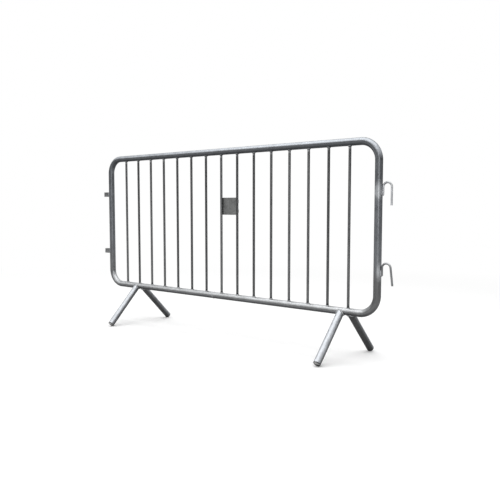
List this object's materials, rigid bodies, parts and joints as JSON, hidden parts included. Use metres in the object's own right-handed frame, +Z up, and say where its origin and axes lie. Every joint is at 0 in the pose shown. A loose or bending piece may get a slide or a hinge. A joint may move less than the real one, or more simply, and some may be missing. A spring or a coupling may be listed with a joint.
{
  "type": "crowd control barrier",
  "caption": "Interlocking steel pedestrian barrier: a bent tube frame with upright bars, splayed legs, a small blank plate, and hooks and eyes that link it to the next one.",
  "frame": {"origin": "on the ground, at the middle of the footprint: halfway between the eyes' and the hooks' farthest points, and halfway between the front and the rear feet", "axes": "+X runs along the barrier towards its hook end, +Y points to the rear, the side that the plate faces, and +Z is up"},
  "size_m": [2.1566, 0.478, 1.1],
  "materials": {
    "galvanised_steel": "hot-dip galvanised: dull silver grey with a faint crystal pattern",
    "galvanised_weld": "welds under the same zinc coat, rippled and a little paler",
    "black_plastic": "matt black moulded plastic"
  },
  "bodies": {
    "root": {"frame_tube": "galvanised_steel", "frame_butt_weld": "galvanised_weld", "infill_bar_01": "galvanised_steel", "infill_bar_02": "galvanised_steel", "infill_bar_03": "galvanised_steel", "infill_bar_04": "galvanised_steel", "infill_bar_05": "galvanised_steel", "infill_bar_06": "galvanised_steel", "infill_bar_07": "galvanised_steel", "infill_bar_08": "galvanised_steel", "infill_bar_09": "galvanised_steel", "infill_bar_10": "galvanised_steel", "infill_bar_11": "galvanised_steel", "infill_bar_12": "galvanised_steel", "infill_bar_13": "galvanised_steel", "infill_bar_14": "galvanised_steel", "infill_bar_15": "galvanised_steel", "bar_welds_bottom": "galvanised_weld", "bar_welds_top": "galvanised_weld", "plate": "galvanised_steel", "plate_tack_welds": "galvanised_weld", "leg_front_left": "galvanised_steel", "leg_rear_left": "galvanised_steel", "leg_front_right": "galvanised_steel", "leg_rear_right": "galvanised_steel", "foot_plug_front_left": "black_plastic", "foot_plug_rear_left": "black_plastic", "foot_plug_front_right": "black_plastic", "foot_plug_rear_right": "black_plastic", "leg_welds": "galvanised_weld", "hook_upper": "galvanised_steel", "hook_lower": "galvanised_steel", "hook_welds": "galvanised_weld", "eye_upper": "galvanised_steel", "eye_lower": "galvanised_steel", "eye_welds": "galvanised_weld"}
  },
  "joints": []
}
